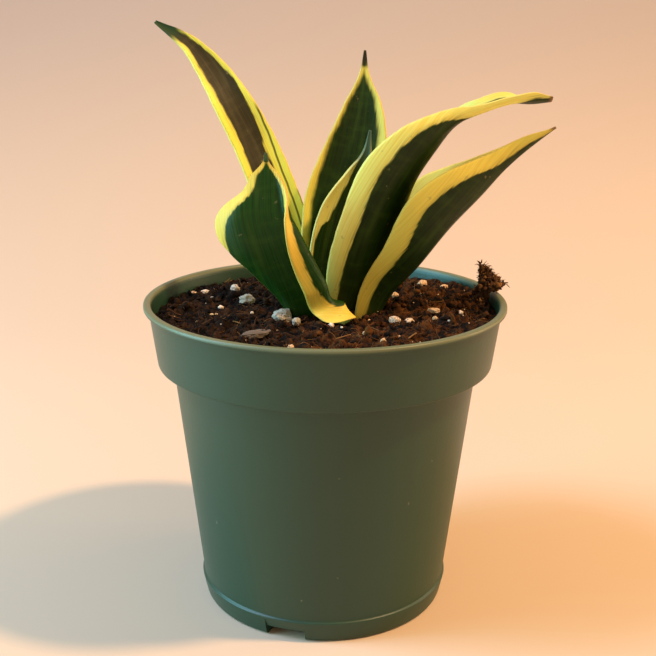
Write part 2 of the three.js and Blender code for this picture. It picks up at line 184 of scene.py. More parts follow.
def strand(path, radii, sides=5):
    """A thin closed tube along a path."""
    path = [Vector(p) for p in path]
    points, faces = [], []
    last = len(path) - 1
    for k, place in enumerate(path):
        along = (path[min(k + 1, last)] - path[max(k - 1, 0)]).normalized()
        side = along.orthogonal().normalized()
        up = along.cross(side)
        for j in range(sides):
            a = 2 * math.pi * j / sides
            points.append(place + (side * math.cos(a) + up * math.sin(a)) * radii[k])
    for k in range(last):
        for j in range(sides):
            n = (j + 1) % sides
            a, b = k * sides + j, k * sides + n
            c, d = b + sides, a + sides
            faces.extend([[a, b, c], [a, c, d]])
    for j in range(1, sides - 1):
        faces.append([0, j + 1, j])
        faces.append([last * sides, last * sides + j, last * sides + j + 1])
    return np.array([p[:] for p in points]), faces


def wandering(start, direction, length, bend, steps=8):
    """A crooked path from start."""
    place, heading = Vector(start), Vector(direction).normalized()
    path = [place.copy()]
    for _ in range(steps):
        turn = Vector([random.uniform(-1, 1) for _ in range(3)])
        heading = (heading + turn * bend).normalized()
        place = place + heading * length / steps
        path.append(place.copy())
    return path


def taper(thick, steps, tip=0.35):
    return [thick * (1 - (1 - tip) * k / steps) for k in range(steps + 1)]


# =====================================================================
# materials
# =====================================================================


def colour(red, green, blue):
    """A colour from its 0 to 255 screen values."""
    return (*[(c / 255) ** 2.2 for c in (red, green, blue)], 1.0)


class Shader:
    """A material in the making, with short calls for the nodes used here."""

    def __init__(self, name):
        self.material = bpy.data.materials.new(name)
        self.material.use_nodes = True
        self.tree = self.material.node_tree
        self.tree.nodes.clear()
        self.surface = self.node("ShaderNodeBsdfPrincipled")
        self.put(self.node("ShaderNodeOutputMaterial").inputs["Surface"], self.surface.outputs[0])

    def node(self, kind):
        return self.tree.nodes.new(kind)

    def put(self, socket, value):
        if isinstance(value, bpy.types.NodeSocket):
            self.tree.links.new(value, socket)
        else:
            socket.default_value = value

    def set(self, name, value):
        self.put(self.surface.inputs[name], value)

    def math(self, operation, a, b=0.0, c=0.0):
        node = self.node("ShaderNodeMath")
        node.operation = operation
        for socket, value in zip(node.inputs, (a, b, c)):
            self.put(socket, value)
        return node.outputs[0]

    def attribute(self, name):
        node = self.node("ShaderNodeAttribute")
        node.attribute_name = name
        return node

    def parts(self, name):
        node = self.node("ShaderNodeSeparateXYZ")
        self.put(node.inputs[0], self.attribute(name).outputs["Vector"])
        return node.outputs

    def place(self):
        return self.node("ShaderNodeTexCoord").outputs["Object"]

    def join(self, x, y, z=0.0):
        node = self.node("ShaderNodeCombineXYZ")
        for socket, value in zip(node.inputs, (x, y, z)):
            self.put(socket, value)
        return node.outputs[0]

    def noise(self, where, scale, detail=2.0, roughness=0.5, distortion=0.0):
        node = self.node("ShaderNodeTexNoise")
        self.put(node.inputs["Vector"], where)
        self.put(node.inputs["Scale"], scale)
        self.put(node.inputs["Detail"], detail)
        self.put(node.inputs["Roughness"], roughness)
        self.put(node.inputs["Distortion"], distortion)
        return node.outputs["Fac"]

    def cells(self, where, scale):
        node = self.node("ShaderNodeTexVoronoi")
        self.put(node.inputs["Vector"], where)
        self.put(node.inputs["Scale"], scale)
        return node.outputs["Distance"]

    def step(self, value, low, high, start=0.0, end=1.0):
        """A smooth step from start at low to end at high."""
        node = self.node("ShaderNodeMapRange")
        node.interpolation_type = "SMOOTHSTEP"
        for socket, v in zip(node.inputs, (value, low, high, start, end)):
            self.put(socket, v)
        return node.outputs[0]

    def mix(self, factor, a, b):
        node = self.node("ShaderNodeMix")
        node.data_type = "RGBA"
        self.put(node.inputs["Factor"], factor)
        self.put(node.inputs[6], a)
        self.put(node.inputs[7], b)
        return node.outputs[2]

    def bump(self, height, distance, strength=1.0):
        node = self.node("ShaderNodeBump")
        self.put(node.inputs["Height"], height)
        self.put(node.inputs["Distance"], distance)
        self.put(node.inputs["Strength"], strength)
        self.set("Normal", node.outputs[0])


def plastic_material():
    s = Shader("green_plastic")
    place = s.place()
    broad = s.noise(place, 25.0, 2.0)
    fine = s.noise(place, 900.0, 3.0, 0.6)
    specks = s.step(s.noise(place, 420.0, 1.0), 0.78, 0.84)
    base = s.mix(broad, colour(32, 61, 46), colour(38, 67, 50))
    dusty = s.math("MULTIPLY", specks, 0.35)
    where = s.node("ShaderNodeSeparateXYZ")
    s.put(where.inputs[0], place)
    # Painted highlight: the top of the lip is painted pale for the light it catches.
    highlight_from = (POT_HEIGHT - LIP_HIGHLIGHT_FROM) * MM
    highlight_to = (POT_HEIGHT - LIP_HIGHLIGHT_TO) * MM
    lip_highlight = s.step(where.outputs[2], highlight_from, highlight_to, 0.0, 0.65)
    base = s.mix(lip_highlight, base, colour(124, 128, 96))
    s.set("Base Color", s.mix(dusty, base, colour(150, 150, 125)))
    s.set("Roughness", s.step(broad, 0.2, 0.8, 0.36, 0.46))
    s.set("Specular IOR Level", 0.5)
    s.bump(fine, 0.00003)
    return s.material


def soil_material():
    s = Shader("peat_mix")
    place = s.place()
    tint = s.attribute("tint").outputs["Fac"]
    lumps = s.noise(place, 260.0, 4.0, 0.65)
    broad = s.noise(place, 38.0, 2.0)
    where = s.node("ShaderNodeSeparateXYZ")
    s.put(where.inputs[0], place)
    # Painted light: towards the right, where the warm lamp falls, the mix is painted redder and
    # lighter.
    to_right = s.math("ADD", where.outputs[0], s.math("MULTIPLY", where.outputs[1], -0.3))
    to_right = s.math("ADD", to_right, s.math("MULTIPLY", s.math("SUBTRACT", broad, 0.5), 0.08))
    red = s.step(to_right, -0.02, 0.03)
    dark = s.mix(red, colour(9, 7, 4), colour(13, 8, 4))
    light = s.mix(red, colour(68, 46, 26), colour(104, 64, 26))
    # Painted shade: the tint darkens the low creases and hollows of the mix; the lumps noise adds
    # random tone.
    shade = s.math("ADD", s.math("MULTIPLY", tint, 0.62), s.step(lumps, 0.4, 0.75, -0.1, 0.6))
    s.set("Base Color", s.mix(shade, dark, light))
    s.set("Roughness", 0.95)
    s.set("Specular IOR Level", 0.2)
    s.bump(s.noise(place, 1500.0, 3.0, 0.7), 0.0003)
    return s.material


def fibre_material():
    s = Shader("root_fibre")
    tint = s.attribute("tint").outputs["Fac"]
    grain = s.noise(s.place(), 700.0, 3.0, 0.6)
    body = s.mix(tint, colour(52, 30, 18), colour(168, 118, 66))
    s.set("Base Color", s.mix(s.math("MULTIPLY", grain, 0.5), body, colour(40, 24, 14)))
    s.set("Roughness", 0.85)
    s.set("Specular IOR Level", 0.25)
    return s.material


def perlite_material():
    s = Shader("perlite")
    place = s.place()
    tint = s.attribute("tint").outputs["Fac"]
    pits = s.step(s.cells(place, 1500.0), 0.10, 0.40)
    stain = s.noise(place, 500.0, 3.0, 0.6)
    pale = s.mix(s.step(tint, 0.0, 0.5), colour(178, 170, 150), colour(234, 218, 194))
    body = s.mix(s.step(tint, 0.5, 1.0), pale, colour(222, 184, 140))
    stained = s.mix(s.step(stain, 0.55, 0.75, 0.0, 0.6), body, colour(120, 96, 74))
    s.set("Base Color", s.mix(pits, colour(96, 90, 78), stained))
    s.set("Roughness", 0.9)
    s.set("Specular IOR Level", 0.3)
    s.bump(s.noise(place, 2200.0, 3.0, 0.6), 0.0002)
    return s.material


def bark_material():
    s = Shader("grey_bark")
    place = s.place()
    grain = s.noise(place, 420.0, 4.0, 0.6)
    s.set("Base Color", s.mix(grain, colour(66, 56, 48), colour(128, 118, 106)))
    s.set("Roughness", 0.92)
    s.set("Specular IOR Level", 0.25)
    s.bump(s.noise(place, 1200.0, 3.0, 0.6), 0.0003)
    return s.material


def rhizome_material():
    s = Shader("pale_rhizome")
    grain = s.noise(s.place(), 300.0, 3.0, 0.6)
    s.set("Base Color", s.mix(grain, colour(168, 126, 76), colour(206, 168, 112)))
    s.set("Roughness", 0.8)
    return s.material


def leaf_material(name, look):
    """Green centre, yellow margins with a streaky border, a thin dry edge and a dry tip.

    The mesh gives, for every point and in millimetres, where it lies on the blade ("blade": across,
    along, face), how far it is from the two margins ("edge") and how wide the yellow bands are
    there ("band": left, right and how far in a dark streak runs along the right one).
    """
    s = Shader(name)
    across, along, face = s.parts("blade")
    from_left, from_right, t = s.parts("edge")
    band_left, band_right, streak_at = s.parts("band")

    def lines(across_scale, along_scale, detail=2.0):
        where = s.join(
            s.math("MULTIPLY", across, across_scale),
            s.math("MULTIPLY", along, along_scale),
            s.math("MULTIPLY", face, 7.0),
        )
        return s.noise(where, 1.0, detail, 0.55)

    wander = s.math("MULTIPLY", s.math("SUBTRACT", lines(0.25, 0.16), 0.5), look["wander"])
    ragged = s.math("MULTIPLY", s.math("SUBTRACT", lines(1.7, 0.09, 3.0), 0.5), look["ragged"])
    shift = s.math("ADD", wander, ragged)
    inside_left = s.math("SUBTRACT", from_left, band_left)
    inside_right = s.math("SUBTRACT", from_right, band_right)
    inside = s.math("ADD", s.math("MINIMUM", inside_left, inside_right), shift)
    green = s.step(inside, -look["soft"], look["soft"])

    fine = lines(3.2, 0.05, 3.0)
    broad = lines(0.5, 0.05)
    cross = lines(0.12, 0.42, 3.0)
    centre = s.mix(s.step(fine, 0.3, 0.75), look["green_dark"], look["green"])
    centre = s.mix(s.step(broad, 0.45, 0.8, 0.0, 0.55), centre, look["green_pale"])
    centre = s.mix(s.step(cross, 0.45, 0.7, 0.0, 0.22), centre, look["green_pale"])

    margin = s.mix(s.step(lines(2.4, 0.04, 3.0), 0.3, 0.7), look["yellow_deep"], look["yellow"])
    near_border = s.step(inside, -1.6, -0.1, 0.0, 0.35)
    tinge = s.math("MULTIPLY", near_border, s.step(fine, 0.35, 0.6))
    margin = s.mix(tinge, margin, look["green_pale"])
    body = s.mix(green, margin, centre)

    off_streak = s.math("ABSOLUTE", s.math("SUBTRACT", from_right, streak_at))
    streak = s.math("MULTIPLY", s.step(off_streak, 0.15, 0.45, 1.0, 0.0), s.step(streak_at, 0.1, 0.5))
    body = s.mix(s.math("MULTIPLY", streak, 0.85), body, look["green_dark"])

    rim = s.math("MINIMUM", from_left, from_right)
    body = s.mix(s.step(rim, 0.08, 0.35, 0.45, 0.0), body, look["rim"])
    old = s.math("ADD", t, s.math("MULTIPLY", s.math("SUBTRACT", fine, 0.5), 0.03))
    body = s.mix(s.step(old, look["tip_from"], look["tip_full"]), body, look["tip"])
    # Painted shade: the foot of the blade, down among the other leaves by the soil, is painted towards
    # a dark olive.
    low = s.step(t, 0.02, look["base_to"], look["base_shade"], 0.0)
    body = s.mix(low, body, look["base"])
    specks = s.step(s.noise(s.place(), 520.0, 2.0), 0.70, 0.76, 0.0, 0.35)
    body = s.mix(specks, body, colour(150, 140, 90))

    s.set("Base Color", body)
    s.set("Roughness", s.step(lines(0.6, 0.2), 0.3, 0.7, look["gloss"], look["gloss"] + 0.12))
    s.set("Specular IOR Level", 0.25)
    s.bump(lines(2.2, 0.03, 3.0), 0.00005)
    return s.material


# =====================================================================
# pot
# =====================================================================


def rounded(corners, steps=5):
    """Turns (radius, height, rounding) corners into a profile with rounded corners."""
    points = []
    for k, (r, z, rounding) in enumerate(corners):
        here = Vector((r, z))
        if rounding == 0 or k in (0, len(corners) - 1):
            points.append(here)
            continue
        before = Vector(corners[k - 1][:2]) - here
        after = Vector(corners[k + 1][:2]) - here
        cut = min(rounding, before.length * 0.45, after.length * 0.45)
        start = here + before.normalized() * cut
        end = here + after.normalized() * cut
        for j in range(steps + 1):
            u = j / steps
            points.append(start * (1 - u) ** 2 + here * 2 * u * (1 - u) + end * u**2)
    return points


def pot_corners():
    collar_foot = POT_HEIGHT - COLLAR_HEIGHT
    lip_underside = POT_HEIGHT - LIP_HEIGHT
    ring_inner = FOOT_RADIUS - FOOT_RING_WIDTH
    channel_top = CHANNEL_DEPTH + WALL
    outside = [
        (0, 0, 0),
        (BASE_DISC_RADIUS, 0, 0.5),
        (BASE_DISC_RADIUS + 2, CHANNEL_DEPTH, 0.5),
        (ring_inner - 1, CHANNEL_DEPTH, 0.5),
        (ring_inner, 0, 0.4),
        (FOOT_RADIUS, 0, 0.5),
        (FOOT_RADIUS + 0.7, 0.6, 0.4),
        (BODY_FOOT_RADIUS + 0.5, FOOT_RING_HEIGHT - 0.5, 0.3),
        (BODY_FOOT_RADIUS - 0.1, FOOT_RING_HEIGHT, 0.3),
        (BODY_TOP_RADIUS, collar_foot - 1.0, 0.8),
        (BODY_TOP_RADIUS + 0.5, collar_foot, 0.6),
        (COLLAR_FOOT_RADIUS - 0.2, collar_foot, 1.1),
        (COLLAR_FOOT_RADIUS, collar_foot + 1.2, 0.8),
        (COLLAR_TOP_RADIUS, lip_underside, 0.5),
        (RIM_RADIUS, lip_underside, 0.45),
        (RIM_RADIUS, POT_HEIGHT, 0.6),
    ]
    inside = [
        (RIM_RADIUS - LIP_WIDTH, POT_HEIGHT, 0.5),
        (COLLAR_TOP_RADIUS - WALL, lip_underside, 0.4),
        (COLLAR_FOOT_RADIUS - WALL, collar_foot + WALL, 0.8),
        (BODY_TOP_RADIUS - WALL, collar_foot + WALL, 0.8),
        (BODY_FOOT_RADIUS - WALL, channel_top, 1.2),
        (BASE_DISC_RADIUS + 1.3, channel_top, 0.5),
        (BASE_DISC_RADIUS - 0.7, WALL, 0.5),
        (0, WALL, 0),
    ]
    return outside + inside


def pot_angles():
    """Directions of the wall's columns, doubled at the sides of each notch, and which are cut."""
    half = math.degrees(NOTCH_WIDTH / 2 / FOOT_RADIUS)
    centres = [FIRST_NOTCH_ANGLE + 360 / NOTCH_COUNT * k for k in range(NOTCH_COUNT)]
    columns = []
    for k in range(POT_SIDES):
        angle = 360 * k / POT_SIDES
        away = [abs((angle - c + 180) % 360 - 180) for c in centres]
        columns.append((angle, min(away) < half))
    for c in centres:
        for side in (-1, 1):
            edge = (c + side * half) % 360
            columns.append((edge, True))
            columns.append(((edge + side * 0.02) % 360, False))
    return sorted(columns)


def make_pot(material):
    profile = rounded(pot_corners())
    inner_start = FOOT_RADIUS - FOOT_RING_WIDTH - NOTCH_REACH
    points, faces = [], []
    columns = pot_angles()
    rows = len(profile)
    for angle, cut in columns:
        a = math.radians(angle)
        for k, (r, z) in enumerate(profile):
            in_ring = k < rows // 2 and r > inner_start and z < NOTCH_HEIGHT
            height = NOTCH_HEIGHT if cut and in_ring else z
            points.append((r * math.cos(a), r * math.sin(a), height))
    count = len(columns)
    for c in range(count):
        d = (c + 1) % count
        for k in range(1, rows - 2):
            faces.append([c * rows + k, d * rows + k, d * rows + k + 1, c * rows + k + 1])
    bottom, top = len(points), len(points) + 1
    points.extend([(0, 0, 0), (0, 0, WALL)])
    for c in range(count):
        d = (c + 1) % count
        faces.append([bottom, d * rows + 1, c * rows + 1])
        faces.append([top, c * rows + rows - 2, d * rows + rows - 2])
    pot = mesh_object("pot", points, faces, material, sharp_angle=50)
    bm = bmesh.new()
    bm.from_mesh(pot.data)
    bmesh.ops.delete(bm, geom=[v for v in bm.verts if not v.link_faces], context="VERTS")
    bmesh.ops.recalc_face_normals(bm, faces=bm.faces)
    bm.to_mesh(pot.data)
    bm.free()
    return pot


# =====================================================================
# leaves
# =====================================================================

# Stations from base to tip: x, y, z, left and right half width along the blade, roll, slope at the
# midrib, slope at the left and right margin. At a roll of 0 the inner face looks towards -Y.
# A slope is how far the blade tilts towards its inner face. curl says over which part of each half,
# from 0 at the midrib to 1 at the margin, the slope changes.
# bands: fraction of the length, width of the yellow band on the left and right, dark streak.

LEAVES = {
    "long_left_leaf": {
        "curl": (0, 1),
        "stations": [
            (-5, 6, 78, 4.5, 5, 20, 0, 20, 30),
            (-8, 7, 93, 4.6, 7, 25, 0, 20, 40),
            (-12, 8, 106.5, 5, 7.8, 30, 0, 15, 40),
            (-16.5, 9, 117.5, 5.2, 8.3, 30, 0, 15, 40),
            (-22, 11, 130, 4.9, 8, 30, 0, 15, 40),
            (-28, 12, 141.5, 4.5, 7, 30, 0, 15, 40),
            (-33, 14, 149.5, 3.5, 5.5, 30, 0, 15, 40),
            (-39, 15, 157, 2.1, 3.2, 30, 0, 20, 40),
            (-48, 16, 163.3, 0.5, 0.5, 30, 0, 20, 40),
        ],
        "bands": [
            (0.0, 2.4, 4.5, 2.6),
            (0.48, 2.4, 4.4, 2.2),
            (0.55, 2.4, 3.8, 1.4),
            (0.62, 2.3, 2.4, 0.6),
            (0.68, 2.4, 1.6, 0.0),
            (0.74, 2.2, 1.1, 0.0),
            (0.80, 1.5, 1.2, 0.0),
            (0.88, 1.2, 1.2, 0.0),
            (0.93, 0.8, 0.7, 0.0),
            (0.96, 0.0, 0.0, 0.0),
            (1.0, 0.0, 0.0, 0.0),
        ],
    },
    "back_leaf": {
        "curl": (0, 1),
        "stations": [
            (-1, 4, 78, 5, 5, 0, 0, 30, 30),
            (1, 6, 100, 9, 8, 0, 0, 40, 40),
            (4, 9, 113, 11.2, 10, 0, 0, 35, 35),
            (8, 13, 129, 8.8, 9.6, 0, 0, 30, 30),
            (10, 16, 141, 5.2, 6, 0, 0, 30, 30),
            (10.6, 18, 150, 1.3, 1.3, 0, 0, 20, 20),
            (10.7, 18.3, 156, 0.3, 0.3, 0, 0, 20, 20),
        ],
        "bands": [
            (0.0, 2.6, 2.6, 0.0),
            (0.42, 2.5, 2.8, 0.0),
            (0.50, 2.1, 3.0, 0.0),
            (0.58, 1.5, 3.0, 0.0),
            (0.68, 0.9, 2.8, 0.0),
            (0.78, 0.9, 2.1, 0.0),
            (0.86, 0.9, 1.4, 0.0),
            (0.90, 1.0, 1.3, 0.0),
            (0.925, 1.4, 1.5, 0.0),
            (0.94, 1.4, 1.4, 0.0),
            (0.95, 0.0, 0.0, 0.0),
            (1.0, 0.0, 0.0, 0.0),
        ],
    },
    "young_leaf": {
        "curl": (0, 1),
        "stations": [
            (1, 1, 78, 3, 3, 0, 0, 30, 30),
            (2, 1.5, 100, 7.6, 7, 0, 0, 50, 60),
            (5, 2.5, 113, 7.2, 7, 0, 0, 50, 60),
            (8.5, 3.5, 122, 4, 5, 0, 0, 50, 60),
            (11, 4, 129, 1, 1.5, 0, 0, 40, 40),
            (12, 4.2, 135, 0.3, 0.3, 0, 0, 20, 20),
        ],
        "bands": [
            (0.0, 0.6, 0.8, 0.0),
            (0.44, 0.9, 0.8, 0.0),
            (0.51, 2.0, 0.8, 0.0),
            (0.54, 4.0, 0.8, 0.0),
            (0.62, 4.3, 0.8, 0.0),
            (0.72, 3.0, 0.5, 0.0),
            (0.80, 1.2, 0.2, 0.0),
            (0.86, 0.0, 0.0, 0.0),
            (1.0, 0.0, 0.0, 0.0),
        ],
    },
    "arching_leaf": {
        "curl": (0, 1),
        "stations": [
            (5.5, -1.5, 78, 4, 5, -130, 0, 20, 30),
            (9.5, -2.5, 93, 6.5, 11, -130, 0, 10, 55),
            (15, -5, 110, 9.5, 13, -130, 0, 5, 60),
            (22.5, -7, 125, 11, 14.3, -125, 0, 45, 60),
            (28.4, -8, 132.8, 10, 11, -120, 0, 60, 60),
            (34.2, -8, 138.4, 7, 6, -105, 0, 70, 80),
            (40.8, -8, 141.4, 5, 3.6, -85, 0, 75, 85),
            (48, -7.5, 143.6, 4.4, 3.3, -85, 0, 70, 80),
            (54, -7, 143.8, 3.2, 3.5, -115, 0, 45, 50),
            (59.3, -6.5, 144.1, 1.5, 1.5, -120, 0, 30, 30),
        ],
        "bands": [
            (0.0, 3.0, 2.6, 0.0),
            (0.12, 3.0, 3.0, 0.0),
            (0.23, 3.4, 4.8, 0.0),
            (0.31, 3.6, 5.0, 0.0),
            (0.43, 3.8, 5.4, 0.0),
            (0.54, 3.8, 5.0, 0.0),
            (0.63, 3.4, 3.6, 0.0),
            (0.70, 2.8, 2.8, 0.0),
            (0.80, 2.2, 3.6, 0.0),
            (0.88, 2.0, 3.4, 0.0),
            (0.94, 1.4, 1.6, 0.0),
            (1.0, 0.2, 0.2, 0.0),
        ],
    },
    "right_leaf": {
        "curl": (0, 1),
        "stations": [
            (12, -1, 78, 4, 6.5, -115, 10, 30, 30),
            (17.5, -2.5, 90, 7.5, 9.5, -110, 30, 70, 60),
            (25, -3, 98.5, 14.5, 13, -100, 35, 70, 75),
            (34.2, -3, 110, 18.5, 17, -92, 40, 62, 80),
            (42, -3.5, 118.6, 13.5, 13.8, -92, 40, 60, 80),
            (48.8, -4, 126.5, 6.8, 7.2, -92, 40, 60, 80),
            (55.5, -5, 132.8, 3.4, 3.6, -100, 30, 60, 70),
            (61, -6, 137, 1.0, 1.0, -100, 0, 40, 40),
        ],
        "bands": [
            (0.0, 3.0, 2.6, 0.0),
            (0.10, 3.2, 3.2, 0.0),
            (0.22, 4.2, 4.4, 0.0),
            (0.36, 7.0, 6.0, 0.0),
            (0.47, 7.4, 5.6, 0.0),
            (0.56, 6.6, 5.0, 0.0),
            (0.68, 5.0, 4.4, 0.0),
            (0.76, 3.6, 4.4, 0.0),
            (0.84, 2.4, 3.0, 0.0),
            (0.92, 1.6, 2.0, 0.0),
            (1.0, 0.4, 0.4, 0.0),
        ],
    },
    "front_leaf": {
        "curl": (0.4, 0.75),
        "stations": [
            (-2.5, -6, 74.5, 7, 4, 180, 0, -30, 30),
            (-3.2, -8, 81, 7.5, 4.5, 180, 0, -40, 50),
            (-4.4, -9.6, 83.8, 17, 4.5, 180, 0, -75, 50),
            (-5.2, -10.2, 85.2, 19.5, 4.5, 180, 0, -145, 50),
            (-6, -10.6, 86.8, 16.8, 4.5, 180, 0, -165, 50),
            (-8.5, -12, 93, 16, 5.5, 180, 0, -170, 35),
            (-11.7, -13, 100.5, 15, 8.5, 180, 0, -160, 20),
            (-14, -14, 107.5, 13, 12.8, 180, 0, -140, 20),
            (-15.7, -14, 114, 9.8, 14.8, 180, 0, -100, 30),
            (-15.8, -13, 120.5, 6.5, 6.5, 180, 0, -50, 20),
            (-15.8, -12.4, 125, 3.5, 3.6, 180, 0, -20, 10),
            (-15.8, -12, 128, 0.9, 1, 180, 0, 0, 0),
            (-15.8, -12, 130.5, 0.35, 0.35, 180, 0, 0, 0),
        ],
        "bands": [
            (0.0, 10.0, 0.0, 0.0),
            (0.17, 10.0, 0.0, 0.0),
            (0.19, 7.4, 0.0, 0.0),
            (0.22, 5.6, 0.0, 0.0),
            (0.28, 4.6, 0.0, 0.0),
            (0.36, 3.4, 0.0, 0.0),
            (0.50, 3.2, 0.0, 0.0),
            (0.60, 2.9, 0.0, 0.0),
            (0.66, 2.5, 2.2, 0.0),
            (0.74, 1.9, 4.8, 0.0),
            (0.79, 1.5, 4.2, 0.0),
            (0.84, 1.3, 2.7, 0.0),
            (0.90, 1.2, 1.5, 0.0),
            (0.94, 1.0, 1.2, 0.0),
            (0.958, 0.7, 0.8, 0.0),
            (0.965, 0.0, 0.0, 0.0),
            (1.0, 0.0, 0.0, 0.0),
        ],
    },
}

GREENS = {
    "green_dark": colour(20, 38, 4),
    "green": colour(30, 54, 8),
    "green_pale": colour(58, 82, 26),
    "yellow": colour(246, 236, 118),
    "yellow_deep": colour(240, 224, 100),
    "rim": colour(190, 160, 90),
    "tip": colour(120, 92, 56),
    "tip_from": 0.95,
    "tip_full": 0.995,
    # Painted shade at the foot of each blade: its dark olive colour, how far up it reaches and how
    # strong it is.
    "base": colour(60, 66, 20),
    "base_to": 0.2,
    "base_shade": 0.5,
    "wander": 1.2,
    "ragged": 1.1,
    "soft": 0.3,
    "gloss": 0.42,
}

LOOKS = {
    "long_left_leaf": {
        **GREENS,
        # Painted shade: this leaf's greens are painted brownish for the warm shade it stands in.
        "green_dark": colour(52, 48, 30),
        "green": colour(66, 62, 38),
        "green_pale": colour(92, 86, 58),
        "yellow": colour(255, 250, 98),
        "yellow_deep": colour(253, 244, 88),
        "tip": colour(44, 66, 36),
        "tip_from": 0.90,
        "tip_full": 0.95,
    },
    "back_leaf": {
        **GREENS,
        "soft": 0.8,
        "yellow": colour(236, 216, 96),
        "tip": colour(48, 46, 30),
        "tip_from": 0.93,
        "tip_full": 0.97,
    },
    "young_leaf": {
        **GREENS,
        "green": colour(36, 66, 26),
        "tip": colour(72, 92, 70),
        "tip_from": 0.72,
        "tip_full": 0.98,
        "yellow": colour(244, 240, 136),
        "yellow_deep": colour(240, 234, 122),
    },
    "arching_leaf": {**GREENS, "yellow": colour(250, 246, 132), "tip_from": 0.985},
    "right_leaf": {
        **GREENS,
        "yellow": colour(236, 218, 96),
        "yellow_deep": colour(226, 202, 84),
        "tip_from": 0.975,
    },
    "front_leaf": {
        **GREENS,
        "green_dark": colour(20, 46, 4),
        "green": colour(26, 70, 8),
        "tip": colour(66, 88, 56),
        "tip_from": 0.955,
        "tip_full": 0.98,
        "yellow": colour(240, 208, 88),
        "yellow_deep": colour(232, 198, 76),
    },
}


def along_stations(stations):
    """Cubic interpolation through the stations, with their chord length as the parameter."""
    rows = np.array(stations, float)
    steps = np.linalg.norm(np.diff(rows[:, :3], axis=0), axis=1)
    knots = np.concatenate([[0], np.cumsum(steps)])
    secants = np.diff(rows, axis=0) / steps[:, None]
    tangents = np.empty_like(rows)
    tangents[0], tangents[-1] = secants[0], secants[-1]
    for k in range(1, len(rows) - 1):
        before, after = steps[k - 1], steps[k]
        tangents[k] = (secants[k - 1] * after + secants[k] * before) / (before + after)

    def at(t):
        s = t * knots[-1]
        k = int(np.clip(np.searchsorted(knots, s, side="right") - 1, 0, len(rows) - 2))
        h = steps[k]
        u = (s - knots[k]) / h
        p0, p1, m0, m1 = rows[k], rows[k + 1], tangents[k] * h, tangents[k + 1] * h
        return p0 + u * (m0 + u * (3 * (p1 - p0) - 2 * m0 - m1 + u * (2 * (p0 - p1) + m0 + m1)))

    return at, knots[-1]


def smooth_step(value, low, high):
    v = np.clip((value - low) / (high - low), 0, 1)
    return v * v * (3 - 2 * v)


def half_section(width, mid_slope, edge_slope, curl, parts):
    """Offsets out and up, and the slope, at fractions parts of one half of the blade."""
    fine = np.linspace(0, 1, 121)
    middle = (fine[1:] + fine[:-1]) / 2
    slope = np.radians(mid_slope + (edge_slope - mid_slope) * smooth_step(middle, *curl))
    step = width / len(middle)
    out = np.concatenate([[0], np.cumsum(np.cos(slope) * step)])
    rise = np.concatenate([[0], np.cumsum(np.sin(slope) * step)])
    at_part = np.radians(mid_slope + (edge_slope - mid_slope) * smooth_step(parts, *curl))
    return np.interp(parts, fine, out), np.interp(parts, fine, rise), at_part


def leaf_thickness(parts, t):
    """Half the blade's thickness across one half, round at the margin."""
    middle = LEAF_MID_THICKNESS + (LEAF_EDGE_THICKNESS - LEAF_MID_THICKNESS) * t * t
    body = middle + (LEAF_EDGE_THICKNESS - middle) * parts**2
    body = body * (1 - 0.6 * smooth_step(t, 0.9, 1.0))
    into_margin = np.clip((parts - 1 + MARGIN_ROUNDING) / MARGIN_ROUNDING, 0, 1)
    return body / 2 * np.sqrt(np.maximum(1 - into_margin**2, 0.0025))


